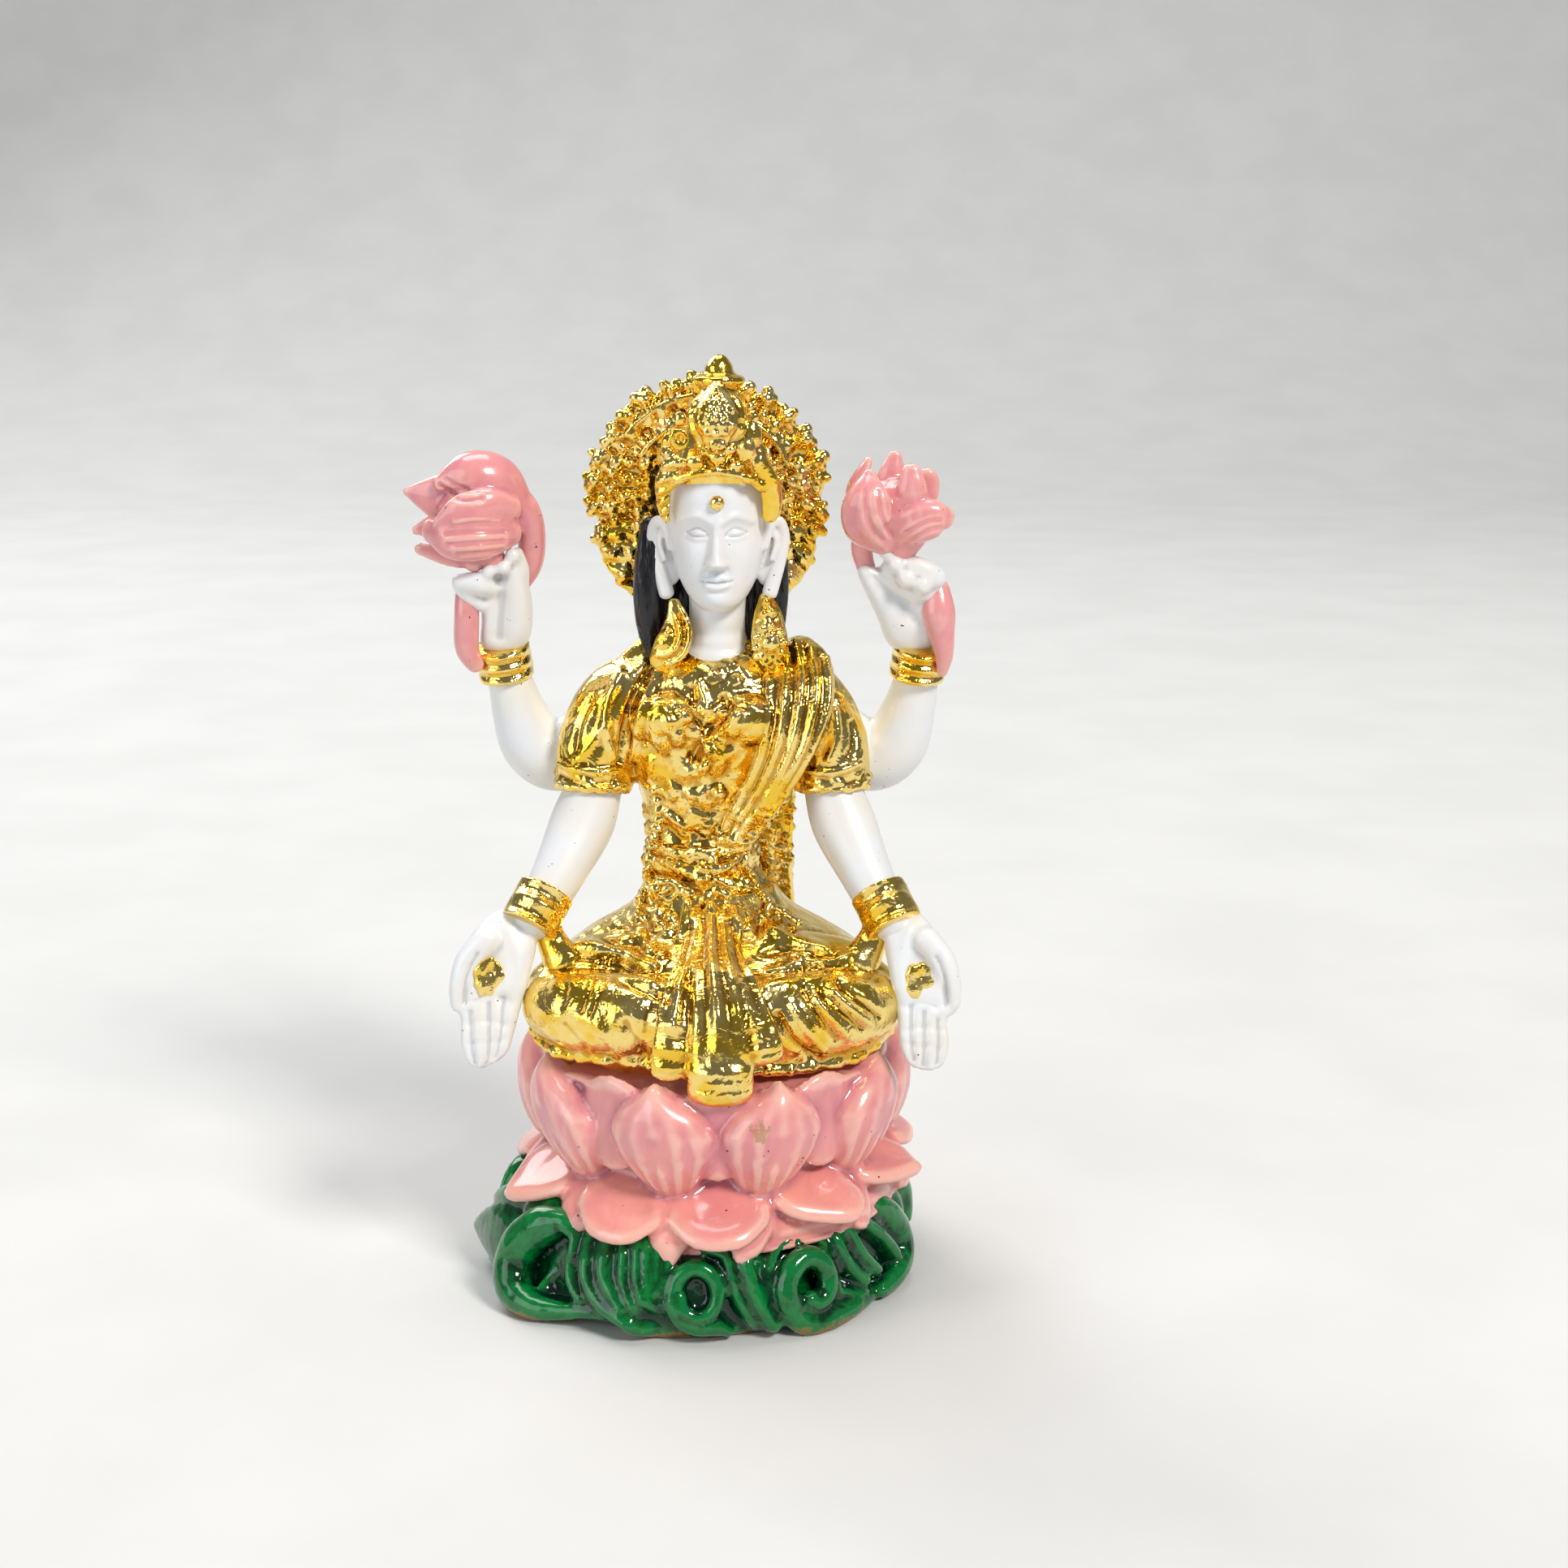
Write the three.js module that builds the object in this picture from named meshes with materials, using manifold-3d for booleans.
// A small cast figure of a seated goddess with four arms, on a double lotus over curling waves.
// It is one casting. Millimetres, +Z up, the figure faces -Y, and the origin is the middle of the flat underside.
import * as THREE from "three";
import { mergeVertices } from "three/addons/utils/BufferGeometryUtils.js";
import Module from "manifold-3d";

const wasm = await Module();
wasm.setup();

// Driving sizes of the wave base
const waveRadius = 11.3; // of the body that carries the scrolls
const waveHeight = 6.2;
const waveShift = -0.9; // the waves sit a little to the viewer's left of the figure
const scrollRadius = 2.1; // middle line of a scroll's first turn
const scrollThickness = 0.72; // half the thickness of a scroll at its start
const scrollTurns = 1.25;
const scrollAngles = [-137, -101, -50, 1, 33, 72, 112, 149, 186]; // degrees, from the front towards +X
const ridgeThickness = 0.55;

// Driving sizes of the lotus
const petalCount = 10;
const seatHeight = 13; // floor to the top of the lotus, where the figure sits
const coreRadius = 8.4; // of the flower's heart, under the petals
const spreadReach = 12; // axis to the tip of a spread petal
const spreadValley = 9.7; // axis to the cleft between two spread petals
const spreadHeight = 5.8; // floor to the tip of a spread petal
const spreadThickness = 1.1;
const cupRadius = 10.3; // axis to the belly of an upright petal
const cupValley = 9.3; // axis to the cleft between two upright petals
const tipRise = 0.6; // how far the tips of the petals stand above the seat

// Driving sizes of the figure, which is laid out in parts of its own height
const figureHeight = 37; // seat to the tip of the crown
const partCount = 37;
const part = figureHeight / partCount;

// Driving sizes of the bangles on the four wrists
const wristRadius = 1.15;
const bangleLength = 1.9;
const bangleRise = 0.45; // how far a bangle stands off the wrist

// Driving sizes of the halo behind the head
const haloInner = 4.1; // radius of its opening
const haloBand = 2.05; // width of the plate between the knobs
const haloKnob = 0.75; // how far each pointed knob stands out
const haloDepth = 0.75; // half the thickness of the plate
const haloSpread = 141; // degrees from the top to each end
const haloKnobs = 17;

const degree = Math.PI / 180;
const vector = (x, y, z) => new THREE.Vector3(x, y, z);
const front = vector(0, -1, 0);
const upward = vector(0, 0, 1);

// A point of the figure: x to the viewer's right, y away from the viewer, z above the seat, in parts.
const at = (x, y, z) => vector(x * part, y * part, seatHeight + z * part);
const widths = (...values) => values.map((value) => value * part);

// The value at t, from 0 to 1, of a smooth run through evenly spaced values.
function through(values, t) {
  const last = values.length - 1;
  const place = THREE.MathUtils.clamp(t, 0, 1) * last;
  const i = Math.min(Math.floor(place), last - 1);
  const f = place - i;
  const [a, b, c, d] = [i - 1, i, i + 1, i + 2].map((k) => values[THREE.MathUtils.clamp(k, 0, last)]);
  return b + 0.5 * f * (c - a + f * (2 * a - 5 * b + 4 * c - d + f * (3 * (b - c) + d - a)));
}

const pointThrough = (points, t) =>
  vector(...["x", "y", "z"].map((axis) => through(points.map((point) => point[axis]), t)));

// A closed surface on the grid of a sphere. Each vertex goes to place(turn, along), with turn in radians
// and along from 0 to 1 between the first and last ring; end is -1 or 1 at the two end points, otherwise 0.
function shell(around, rings, place) {
  const geometry = new THREE.SphereGeometry(1, around, rings + 1);
  const { position, uv } = geometry.attributes;
  for (let i = 0; i < position.count; i++) {
    const row = Math.round((1 - uv.getY(i)) * (rings + 1));
    const end = row === 0 ? -1 : row > rings ? 1 : 0;
    const along = THREE.MathUtils.clamp((row - 1) / (rings - 1), 0, 1);
    const turn = end ? 0 : Math.round((uv.getX(i) % 1) * around) * ((2 * Math.PI) / around);
    const point = place(turn, along, end);
    position.setXYZ(i, point.x, point.y, point.z);
  }
  return geometry;
}

// A limb, stem, fold or finger: ellipses along a smooth line, with domed ends.
// across is the section's depth as a share of its width, and facing is the way its depth is measured.
function limb(points, halfWidths, { around = 6, rings = 4, across = 1, facing = front, dome = 0.5 } = {}) {
  return shell(around, rings, (turn, along, end) => {
    const centre = pointThrough(points, along);
    const step = 0.02;
    const ahead = pointThrough(points, Math.min(along + step, 1));
    const behind = pointThrough(points, Math.max(along - step, 0));
    const tangent = ahead.sub(behind).normalize();
    const half = through(halfWidths, along);
    if (end) return centre.addScaledVector(tangent, end * dome * half);
    const side = vector(0, 0, 0).crossVectors(facing, tangent).normalize();
    const outward = vector(0, 0, 0).crossVectors(tangent, side);
    return centre
      .addScaledVector(side, half * Math.cos(turn))
      .addScaledVector(outward, half * across * Math.sin(turn));
  });
}

// A body of stacked sections. Each level is [z, middle x, half width, front y, back y] in parts,
// and relief(x, y, z, turn) may push a point outwards, in parts. Turn 0 is +X and a quarter turn back is the front.
function stack(levels, { around = 14, rings = 6, square = 1, relief = () => 0 } = {}) {
  const column = (k) => levels.map((level) => level[k]);
  return shell(around, rings, (turn, along, end) => {
    const [z, middle, half, near, far] = [0, 1, 2, 3, 4].map((k) => through(column(k), along));
    const centre = (near + far) / 2;
    if (end) return at(middle, centre, z);
    const depth = (far - near) / 2;
    const cos = Math.sign(Math.cos(turn)) * Math.abs(Math.cos(turn)) ** square;
    const sin = Math.sign(Math.sin(turn)) * Math.abs(Math.sin(turn)) ** square;
    const push = relief(middle + half * cos, centre + depth * sin, z, turn);
    return at(middle + (half + push) * cos, centre + (depth + push) * sin, z);
  });
}

// A faceted bead, longer along one direction if stretch is not 1.
function bead(centre, radius, direction = upward, stretch = 1) {
  const turned = new THREE.Quaternion().setFromUnitVectors(upward, direction.clone().normalize());
  return new THREE.OctahedronGeometry(radius * 1.2, 0)
    .scale(1, 1, stretch)
    .applyMatrix4(new THREE.Matrix4().compose(centre, turned, vector(1, 1, 1)));
}

// An ellipsoid with its own half sizes along x, y and z.
function lump(centre, x, y, z, around = 6, rings = 4) {
  return new THREE.SphereGeometry(1, around, rings)
    .rotateX(Math.PI / 2)
    .scale(x * part, y * part, z * part)
    .translate(centre.x, centre.y, centre.z);
}

// The wave base: a low drum with a leaning outline, flat underneath.
function waveDrum() {
  const profile = [
    [0, 0],
    [waveRadius, 0],
    [waveRadius * 1.01, waveHeight * 0.3],
    [waveRadius * 0.93, waveHeight * 0.72],
    [coreRadius, waveHeight],
    [0, waveHeight],
  ].map(([r, z]) => new THREE.Vector2(r, z));
  return new THREE.LatheGeometry(profile, 20).rotateX(Math.PI / 2).translate(waveShift, 0, 0);
}

// A point on the drum's side: angle from the front, height, and how far it stands off the drum.
function onDrum(angle, height, proud) {
  const radius = waveRadius + proud;
  return vector(waveShift + radius * Math.sin(angle), -radius * Math.cos(angle), height);
}

// A curling wave: a tapering roll wound into a scroll on the side of the drum.
function scroll(angle) {
  const centreHeight = scrollRadius + scrollThickness;
  const points = Array.from({ length: 9 }, (_, i) => {
    const share = i / 8;
    const radius = scrollRadius * (1 - 0.72 * share);
    const turn = -0.35 * Math.PI - share * scrollTurns * 2 * Math.PI;
    const sideways = (radius * Math.cos(turn)) / waveRadius;
    return onDrum(angle + sideways, centreHeight + radius * Math.sin(turn), scrollThickness * (0.14 + 0.49 * share));
  });
  return limb(points, [scrollThickness, scrollThickness, scrollThickness * 0.75], {
    around: 4,
    rings: 7,
    facing: vector(Math.sin(angle), -Math.cos(angle), 0),
  });
}

// The ridge of water that sweeps down between two scrolls.
function ridge(from, to) {
  const middle = (from + to) / 2 + 0.05;
  const points = [
    [-0.12, 0.88, -1.8],
    [-0.02, 0.45, 0.18],
    [0.14, 0.1, 0],
  ].map(([lean, share, proud]) => onDrum(middle + lean, waveHeight * share, proud * ridgeThickness));
  return limb(points, [ridgeThickness, ridgeThickness, ridgeThickness * 0.6], { around: 3, rings: 3 });
}

function waves() {
  const angles = scrollAngles.map((angle) => angle * degree);
  const closing = [...angles.slice(1), angles[0] + 2 * Math.PI];
  return [waveDrum(), ...angles.map(scroll), ...angles.map((angle, i) => ridge(angle, closing[i]))];
}

// A ring of petals in one surface round the axis. Each level is [radius at a petal's middle, radius in the cleft,
// height at a petal's middle, height in the cleft], and offset turns the ring by a share of one petal.
function petalRing(levels, count, columns, offset) {
  return shell(count * columns, levels.length, (turn, along, end) => {
    const [middle, cleft, heightMiddle, heightCleft] = levels[Math.round(along * (levels.length - 1))];
    if (end) return vector(0, 0, heightCleft);
    const phase = ((turn * count) / (2 * Math.PI) + offset) * 2 * Math.PI;
    const bulge = Math.sqrt((1 + Math.cos(phase)) / 2);
    const radius = cleft + (middle - cleft) * bulge;
    const height = heightCleft + (heightMiddle - heightCleft) * bulge ** 2;
    return vector(radius * Math.cos(turn), radius * Math.sin(turn), height);
  });
}

// The lotus: a ring of petals spread over the waves, and a double ring of upright petals that cups the seat.
function lotus() {
  const rise = seatHeight - spreadHeight;
  const under = spreadHeight - spreadThickness;
  const spread = petalRing(
    [
      [coreRadius, coreRadius, waveHeight * 0.77, waveHeight * 0.77],
      [spreadReach * 0.933, spreadValley * 0.98, under, spreadHeight - spreadThickness * 0.55],
      [spreadReach, spreadValley, spreadHeight - spreadThickness * 0.36, spreadHeight - spreadThickness * 0.1],
      [coreRadius, coreRadius, spreadHeight + rise * 0.26, spreadHeight + rise * 0.18],
    ],
    petalCount,
    6,
    0.5,
  );
  const cup = petalRing(
    [
      [coreRadius * 1.06, coreRadius * 0.965, spreadHeight + rise * 0.14, spreadHeight + rise * 0.18],
      [cupRadius, cupValley * 0.957, spreadHeight + rise * 0.45, spreadHeight + rise * 0.5],
      [cupRadius * 1.01, cupValley, spreadHeight + rise * 0.75, spreadHeight + rise * 0.78],
      [cupRadius * 0.96, cupValley * 1.04, seatHeight + tipRise, seatHeight + tipRise * 0.2],
      [cupRadius * 0.835, cupValley * 0.87, seatHeight, seatHeight * 0.96],
    ],
    petalCount,
    4,
    0,
  );
  return [spread, cup];
}

// The folded legs under the skirt: a rounded lap with folds that fan out from the waist, a roll for each shin,
// and the cloth that hangs from it to a thin hem.
function lap() {
  const fan = (x, y, z, turn) => {
    const forward = Math.max(0, -Math.sin(turn));
    return (z > 2 && z < 6.6 ? 0.2 : 0.05) * Math.cos(11 * turn) * (0.35 + 0.65 * forward);
  };
  const body = stack(
    [
      [-0.4, 0, 7.6, -6.4, 4.4],
      [0.9, 0, 9.2, -7.3, 5],
      [2.6, 0, 9.9, -7.3, 5.2],
      [4.3, 0, 9.2, -6.1, 5.1],
      [5.7, -0.1, 7.1, -4.6, 4.9],
      [7, -0.2, 4.6, -2.6, 4.7],
      [8.4, -0.3, 3.5, -1.3, 4.5],
    ],
    { around: 22, rings: 5, square: 0.88, relief: fan },
  );
  const legs = [-1, 1].flatMap((side) => [
    limb(
      [at(3 * side, -1.2, 4.2), at(6.6 * side, -2.6, 3.9), at(8.4 * side, -3.4, 3.3)],
      widths(2.3, 2.4, 1.9),
      { around: 7, rings: 3 },
    ),
    limb(
      [at(8.3 * side, -3.9, 4), at(5.2 * side, -5.7, 3.8), at(1 * side, -6.4, 3.2)],
      widths(1.95, 2.2, 2.1),
      { around: 7, rings: 4 },
    ),
  ]);
  const hem = [-1, 1].map((side) =>
    limb(
      [at(9.3 * side, -2.9, 2.5), at(6.6 * side, -6.2, 1.9), at(2 * side, -7.6, 1.8)],
      widths(1, 1.2, 1.2),
      { around: 4, rings: 5, across: 0.42 },
    ),
  );
  return [body, ...legs, ...hem];
}

// Three pleats that hang from the belt over the lap and the lotus, with banded ends.
function pleats() {
  const fall = (x, spread, lowest, half) => {
    const line = [
      at(x * 0.3, -3, 7.6),
      at(x * 0.75, -6.9, 5.7),
      at(x, -8.9, 3.4),
      at(x + spread, -9.5, lowest),
    ];
    return limb(line, widths(half * 0.5, half * 0.75, half * 0.9, half * 1.05, half * 1.2, half * 1.05), {
      rings: 6,
      across: 0.5,
      dome: 0.35,
    });
  };
  return [fall(0.4, 0.1, -0.4, 1.5), fall(-2.2, -0.1, 1.2, 1.05), fall(2.9, 0.1, 1.4, 1.05)];
}

// The bodice from hips to neck, the bust, the sash that crosses it from the shoulder, and the drape behind.
function torso() {
  const body = stack(
    [
      [6.6, -0.3, 4.4, -1.9, 4.6],
      [8.3, -0.4, 3.5, -0.9, 4.4],
      [9.8, -0.45, 3.1, -0.7, 4.2],
      [11.8, -0.4, 3.35, -0.8, 4.1],
      [13.8, -0.3, 3.9, -1.1, 4.1],
      [15.8, -0.2, 4.5, -1.4, 4.2],
      [17.4, -0.1, 5, -1.3, 4.3],
      [18.8, 0, 4.5, -0.7, 4.2],
      [20.2, 0.1, 3.1, 0.1, 3.8],
      [21.4, 0.15, 1.9, 0.4, 3.4],
    ],
    { around: 12, rings: 8 },
  );
  const bust = [-2.25, 1.95].map((x) => lump(at(x, -1.15, 16.8), 1.85, 1.45, 1.7, 8, 4));
  const sash = limb(
    [at(3.9, 1.5, 20.5), at(3.95, -0.7, 18.6), at(3.2, -1.7, 15.8), at(2.1, -1.05, 12.4), at(1.4, -0.7, 10.2)],
    widths(1.3, 1.35, 1.1, 0.8, 0.6),
    { rings: 5, across: 0.5 },
  );
  const behind = limb(
    [at(3.7, 2.4, 19.6), at(3.8, 3.8, 17.4), at(3, 3.6, 12), at(3.2, 4, 6.5), at(3.6, 4.7, 0.5)],
    widths(1.1, 1.25, 1.2, 1.4, 1.7),
    { rings: 5, across: 0.42 },
  );
  return [body, ...bust, sash, behind];
}

// The collar, the pendant, the girdle with its clasp and rosettes, and beads down each side.
function jewels() {
  const collar = Array.from({ length: 7 }, (_, i) => {
    const turn = (i - 3) * 0.38;
    const fall = 1 - Math.cos(turn);
    return bead(at(0.2 + 3.1 * Math.sin(turn), -1.6 + 1.3 * fall, 17.6 + 2.4 * fall), 0.55 * part);
  });
  const pendant = [
    bead(at(-0.1, -1.95, 15.5), 0.7 * part, upward, 1.5),
    bead(at(-0.45, -1.25, 12.7), 1.05 * part),
  ];
  const girdle = limb(
    Array.from({ length: 7 }, (_, i) => {
      const turn = ((i - 3) / 3) * 0.5 * Math.PI;
      return at(-0.4 + 3.35 * Math.sin(turn), 1.6 - 2.6 * Math.cos(turn), 9.6);
    }),
    widths(0.65, 0.65),
    { around: 4, rings: 7, facing: upward, across: 1.1 },
  );
  const clasp = [
    lump(at(-0.5, -1.45, 9.1), 1.3, 0.6, 0.85, 6, 3),
    bead(at(-1.9, -1.2, 7.7), 0.95 * part),
    bead(at(1.2, -1.3, 7.7), 0.95 * part),
  ];
  const strings = [-1, 1].flatMap((side) =>
    Array.from({ length: 3 }, (_, i) => bead(at(-0.4 + side * (3.05 + 0.17 * i), -0.1, 11.3 + 1.5 * i), 0.5 * part)),
  );
  return [...collar, ...pendant, girdle, ...clasp, ...strings];
}

// A bangle on a wrist: two raised rings with a groove between them.
function bangle(wrist, direction) {
  const half = direction.clone().setLength(bangleLength / 2);
  const proud = wristRadius + bangleRise;
  return limb([wrist.clone().sub(half), wrist.clone(), wrist.clone().add(half)], [proud, proud * 0.84, proud], {
    around: 7,
    rings: 3,
    dome: 0.1,
  });
}

// The arm that rests on a knee: sleeve, arm, bangle, and the open hand with its fingers down and a coin in the palm.
function loweredArm(side) {
  const sleeve = limb(
    [at(3.1 * side, 1.9, 19.3), at(5.3 * side, 1.7, 17.8), at(6.3 * side, 1.2, 15.6), at(6.45 * side, 0.7, 13.5)],
    widths(1.3, 1.95, 2.05, 2.15),
    { around: 8, dome: 0.1 },
  );
  const arm = limb(
    [at(6.4 * side, 0.7, 14.4), at(7.1 * side, 0.1, 12), at(8.3 * side, -1.5, 9.7), at(9.6 * side, -3.2, 7.4)],
    [...widths(1.7, 1.72, 1.45), wristRadius],
    { around: 7 },
  );
  const web = limb([at(8.9 * side, -2.8, 7.2), at(8.5 * side, -3, 5.2)], widths(0.6, 0.9), { around: 4, rings: 2 });
  const hand = limb(
    [at(9.9 * side, -3.6, 6.9), at(11 * side, -4.4, 5.5), at(11.5 * side, -4.9, 3.6), at(11.7 * side, -5.3, 2),
      at(11.75 * side, -5.6, 0.9)],
    widths(1.05, 1.9, 1.95, 1.65, 1.25),
    { around: 8, rings: 5, across: 0.45, dome: 0.3 },
  );
  const thumb = limb(
    [at(11.6 * side, -4.4, 6), at(13.05 * side, -4.9, 4.9), at(13.2 * side, -5.3, 3.3)],
    widths(0.6, 0.62, 0.42),
    { around: 4, rings: 3, dome: 0.8 },
  );
  const coin = lump(at(11.4 * side, -5.45, 4.8), 0.9, 0.35, 1, 6, 3);
  return [sleeve, arm, bangle(at(9.45 * side, -3, 7.75), vector(1.1 * side, -1.4, -2)), web, hand, thumb, coin];
}

// The raised arm behind: arm, bangle, and the hand closed round a lotus stem.
function raisedArm(side) {
  const arm = limb(
    [at(5.6 * side, 3, 17), at(8.5 * side, 3.3, 15.1), at(10 * side, 3, 16), at(10.8 * side, 2.4, 18.4),
      at(11.25 * side, 1.9, 20.6)],
    [...widths(1.9, 2, 1.85, 1.5), wristRadius],
    { around: 7, rings: 6 },
  );
  const palm = limb(
    [at(11.2 * side, 1.7, 21.2), at(11.1 * side, 1.3, 23), at(11 * side, 1, 24.8), at(10.9 * side, 0.7, 26)],
    widths(1.05, 1.6, 1.7, 1),
    { across: 0.62 },
  );
  const fist = limb(
    [at(11 * side, 0.2, 24.3), at(12.6 * side, -0.1, 24.8), at(13.6 * side, 0.5, 24.8)],
    widths(0.9, 1.2, 0.95),
    { around: 6, rings: 3 },
  );
  const pinch = limb(
    [at(10.4 * side, 0.3, 24.2), at(10.5 * side, -0.5, 25.5), at(11.2 * side, -0.7, 26.3)],
    widths(0.7, 0.6, 0.42),
    { around: 4, rings: 3, dome: 0.8 },
  );
  return [arm, bangle(at(11.2 * side, 1.9, 20.4), vector(0.25 * side, -0.25, 1)), palm, fist, pinch];
}

// A lotus flower on its own axis from its foot, with its petals in one surface.
function blossom(foot, direction, radius, length, petals) {
  const levels = [
    [0.35, 0.35, 0, 0],
    [0.88, 0.72, 0.22, 0.24],
    [1, 0.8, 0.55, 0.5],
    [1.02, 0.68, 0.98, 0.74],
    [0.5, 0.5, 0.86, 0.72],
  ].map(([r, cleft, z, zCleft]) => [r * radius, cleft * radius, z * length, zCleft * length].map((v) => v * part));
  const turned = new THREE.Quaternion().setFromUnitVectors(upward, direction.clone().normalize());
  return petalRing(levels, petals, 3, 0).applyMatrix4(new THREE.Matrix4().compose(foot, turned, vector(1, 1, 1)));
}

// The two flowers and their stems. The one at the viewer's left has its stem looped back over the hand.
function handLotuses() {
  return [
    blossom(at(-10.6, 0.7, 28.6), vector(-0.97, -0.2, 0.16), 2.65, 5.4, 5),
    limb(
      [at(-10.7, 1.3, 25.2), at(-9.9, 1.4, 26.4), at(-9.75, 1.3, 28.1), at(-10.7, 1, 29.6), at(-11.9, 0.6, 29.4)],
      widths(0.6, 0.75, 0.8, 0.95, 1.2),
      { around: 5, rings: 6 },
    ),
    limb([at(-12.9, 0.4, 25.4), at(-13.3, 0.5, 23), at(-13.2, 0.7, 20.9)], widths(0.65, 0.8, 0.75), {
      around: 5,
      rings: 3,
    }),
    blossom(at(9.7, 0.4, 26.4), vector(-0.02, -0.2, 1), 2.6, 5.6, 5),
    limb([at(10, -0.3, 27.4), at(11.6, -0.9, 28.3), at(12.8, -0.9, 29.1)], widths(1, 1.15, 0.4), {
      around: 5,
      rings: 3,
    }),
    limb([at(10.5, 0.7, 24.4), at(10, 0.6, 25.7), at(9.8, 0.4, 27.4)], widths(0.7, 0.85, 1), { around: 5, rings: 3 }),
    limb([at(12.3, 0.4, 25), at(12.8, 0.4, 23), at(12.6, 0.6, 20.1)], widths(0.65, 0.8, 0.45), {
      around: 5,
      rings: 3,
    }),
  ];
}

const headX = 0.35;

// How far the face stands off its plain oval, in parts: nose, brow, eye hollows, cheeks, lips and chin.
function faceRelief(x, y, z, turn) {
  const forward = Math.max(0, -Math.sin(turn));
  const bump = (cx, cz, wide, tall) => Math.exp(-(((x - headX - cx) / wide) ** 2) - ((z - cz) / tall) ** 2);
  const pair = (cx, cz, wide, tall) => bump(-cx, cz, wide, tall) + bump(cx, cz, wide, tall);
  const nose = 0.7 * bump(0, 26.7, 0.5, 1);
  const brow = 0.16 * pair(1, 28.6, 0.9, 0.5);
  const hollow = -0.25 * pair(1, 27.9, 0.7, 0.5);
  const lips = 0.26 * bump(0, 25.3, 0.8, 0.45);
  const chin = 0.24 * bump(0, 24.2, 0.7, 0.5);
  return (nose + brow + hollow + lips + chin) * forward;
}

// The head with its long ears, the neck, the drops at the ears and the mark on the forehead.
function head() {
  const skull = stack(
    [
      [23.75, headX, 0.75, -1, 1.2],
      [24.3, headX, 1.45, -1.4, 2.2],
      [25.4, headX, 2.05, -1.5, 3.2],
      [26.6, headX, 2.45, -1.55, 3.8],
      [27.8, headX, 2.6, -1.55, 4.2],
      [29, headX, 2.6, -1.55, 4.3],
      [30.2, headX, 2.45, -1.4, 4.3],
      [31.4, headX, 2.05, -0.9, 4.1],
      [32.6, headX, 1.4, 0, 3.5],
    ],
    { around: 14, rings: 10, relief: faceRelief },
  );
  const neck = limb([at(0.15, 2, 19.6), at(0.2, 1.9, 22), at(0.3, 1.7, 24.8)], widths(1.75, 1.45, 1.5), {
    around: 8,
    rings: 3,
  });
  const ears = [-1, 1].map((side) =>
    limb(
      [at(headX + 2.5 * side, 0.9, 28.3), at(headX + 3.15 * side, 1.2, 28.3), at(headX + 3.1 * side, 1.1, 26.8),
        at(headX + 2.55 * side, 0.8, 24.8)],
      widths(0.45, 0.6, 0.5, 0.5),
      { around: 4, across: 0.7 },
    ),
  );
  const drops = [-1, 1].map((side) =>
    limb(
      [at(headX + 2.6 * side, 0.7, 24.4), at(headX + 2.7 * side, 0.6, 23), at(headX + 2.8 * side, 0.6, 21.7),
        at(headX + 2.7 * side, 0.7, 20.4)],
      widths(0.65, 0.5, 0.95, 0.7),
      { around: 5, across: 0.85 },
    ),
  );
  return [skull, neck, ...ears, ...drops, bead(at(headX, -1.65, 29.5), 0.36 * part)];
}

// The crown: a cap, a leaf-shaped plaque with raised stones, scrolled leaves beside it, flaps and a two-tiered tip.
function crown() {
  const cap = stack(
    [
      [30.2, headX, 2.6, -1.55, 4.7],
      [31.2, headX, 2.75, -1.75, 4.7],
      [32.5, headX, 2.5, -1.6, 4.6],
      [33.6, headX, 1.9, -1.1, 4.3],
      [34.7, headX, 1, -0.2, 3.6],
    ],
    { around: 12, rings: 4 },
  );
  const plaque = limb(
    [at(headX, -1.9, 31), at(headX, -2.1, 32.6), at(headX, -1.8, 34), at(headX, -1.2, 35.2)],
    widths(0.95, 1.25, 1.05, 0.3),
    { rings: 5, across: 0.42 },
  );
  const stones = [31.7, 32.9, 34.1].map((z) => bead(at(headX, -2.35 + 0.2 * (z - 31.6), z), 0.42 * part));
  const leaf = (side, foot, middle, end, half) =>
    limb(
      [foot, middle, end].map(([x, y, z]) => at(headX + x * side, y, z)),
      widths(half, half * 1.2, half * 0.5),
      { around: 4, rings: 3, across: 0.8 },
    );
  const leaves = [-1, 1].flatMap((side) => [
    leaf(side, [1.5, -1.7, 31.1], [2, -1.5, 32.4], [1.7, -1.2, 33.5], 0.65),
    leaf(side, [2.2, -1.2, 31.2], [2.6, -0.7, 29.6], [2.45, -0.4, 28.2], 0.5),
  ]);
  const tip = new THREE.LatheGeometry(
    [[0, 33.6], [1, 34.2], [1.15, 35.1], [0.7, 35.5], [0.6, 36.2], [0, 37]].map(
      ([r, z]) => new THREE.Vector2(r * part, seatHeight + z * part),
    ),
    8,
  )
    .rotateX(Math.PI / 2)
    .translate(0.42 * part, 2 * part, 0);
  return [cap, plaque, ...stones, ...leaves, tip];
}

// The halo: a horseshoe plate behind the head, ridged along its middle, with a row of pointed knobs round its rim.
function halo() {
  const middle = at(-0.28, 3.9, 29.1);
  const rings = 2 * haloKnobs + 1;
  return [
    shell(4, rings, (turn, along, end) => {
      const angle = haloSpread * degree * (2 * along - 1 + end * 0.03);
      const knob = Math.round(along * (rings - 1)) % 2 ? haloKnob : 0;
      const taper = end ? 0 : 1 - 0.6 * Math.abs(2 * along - 1) ** 6;
      const half = (haloBand + knob) / 2;
      const radius = haloInner + haloBand / 2 + taper * (half * Math.cos(turn) + knob / 2);
      const y = taper * haloDepth * Math.sin(turn);
      return middle.clone().add(vector(radius * Math.sin(angle), y, radius * Math.cos(angle)));
    }),
  ];
}

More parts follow.
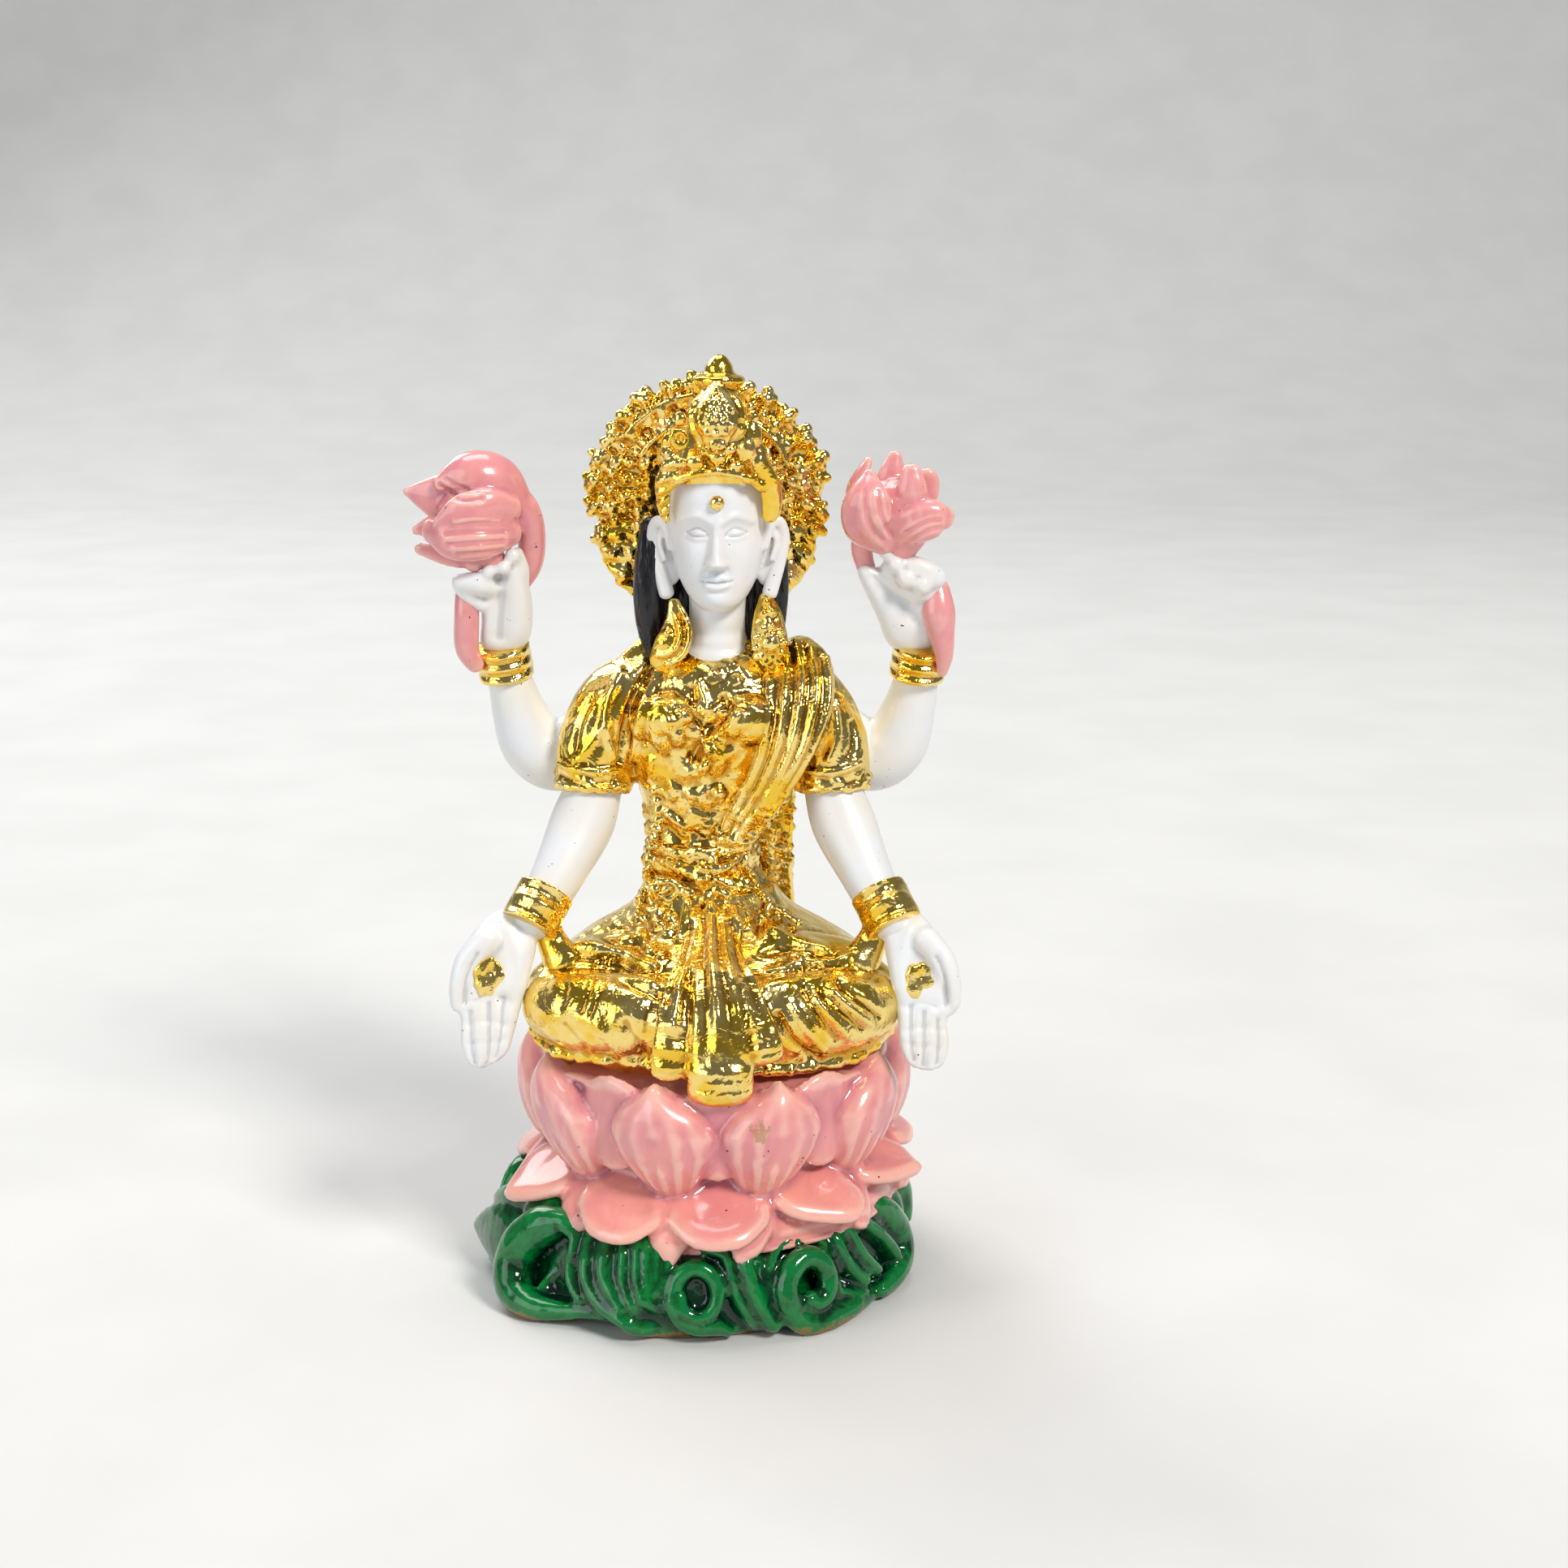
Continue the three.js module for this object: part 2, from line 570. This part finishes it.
// The hair that falls behind the head and down the back.
function hair() {
  const strands = (x, y, z, turn) => 0.14 * Math.cos(6 * turn);
  return [
    stack(
      [
        [11.4, -0.1, 0.7, 3.6, 4.6],
        [13.4, -0.2, 2, 3, 5.2],
        [16.4, -0.2, 3, 2.6, 5.4],
        [19.4, -0.3, 3.9, 2.2, 5.4],
        [22, -0.35, 4.25, 1.7, 5.2],
        [24.5, -0.1, 3.9, 1.5, 5.3],
        [27.5, 0.1, 3.3, 1.5, 5.5],
        [30.5, 0.2, 2.8, 1.6, 5.2],
        [32.4, 0.3, 1.5, 2, 4.2],
      ],
      { around: 12, rings: 6, relief: strands },
    ),
  ];
}

// One solid from all the closed surfaces, turned to face outwards first.
function solidOf(geometry) {
  const bare = new THREE.BufferGeometry()
    .setAttribute("position", geometry.attributes.position.clone())
    .setIndex(geometry.index ? geometry.index.clone() : [...Array(geometry.attributes.position.count).keys()]);
  const merged = mergeVertices(bare, 1e-4);
  const triVerts = new Uint32Array(merged.index.array.length);
  const points = merged.attributes.position;
  const corner = (i) => new THREE.Vector3().fromBufferAttribute(points, merged.index.array[i]);
  let volume = 0;
  for (let i = 0; i < triVerts.length; i += 3) volume += corner(i).dot(corner(i + 1).cross(corner(i + 2)));
  for (let i = 0; i < triVerts.length; i += 3) {
    const order = volume < 0 ? [0, 2, 1] : [0, 1, 2];
    order.forEach((from, to) => (triVerts[i + to] = merged.index.array[i + from]));
  }
  return new wasm.Manifold(new wasm.Mesh({ numProp: 3, vertProperties: points.array, triVerts }));
}

// The casting is solid metal, so only the outer skin of the joined pieces is kept: the largest connected surface.
function cast(geometries) {
  const whole = geometries.map(solidOf).reduce((sum, solid) => sum.add(solid));
  const { vertProperties, triVerts } = whole.getMesh();
  const owner = Array.from({ length: vertProperties.length / 3 }, (_, i) => i);
  const find = (i) => {
    while (owner[i] !== i) i = owner[i] = owner[owner[i]];
    return i;
  };
  for (let i = 0; i < triVerts.length; i += 3) {
    owner[find(triVerts[i + 1])] = find(triVerts[i]);
    owner[find(triVerts[i + 2])] = find(triVerts[i]);
  }
  const sizes = new Map();
  triVerts.forEach((i) => sizes.set(find(i), (sizes.get(find(i)) ?? 0) + 1));
  const [skin] = [...sizes].sort((a, b) => b[1] - a[1])[0];
  return new THREE.BufferGeometry()
    .setAttribute("position", new THREE.BufferAttribute(vertProperties, 3))
    .setIndex([...triVerts].filter((i) => find(i) === skin));
}

const goldPlate = new THREE.MeshStandardMaterial({ color: 0xe3b34a, metalness: 1, roughness: 0.22 });

const figure = new THREE.Mesh(
  cast([
    ...waves(),
    ...lotus(),
    ...lap(),
    ...pleats(),
    ...torso(),
    ...jewels(),
    ...loweredArm(-1),
    ...loweredArm(1),
    ...raisedArm(-1),
    ...raisedArm(1),
    ...handLotuses(),
    ...head(),
    ...crown(),
    ...halo(),
    ...hair(),
  ]),
  goldPlate,
);
figure.name = "lakshmi_figure";

const group = new THREE.Group();
group.add(figure);

export default group;
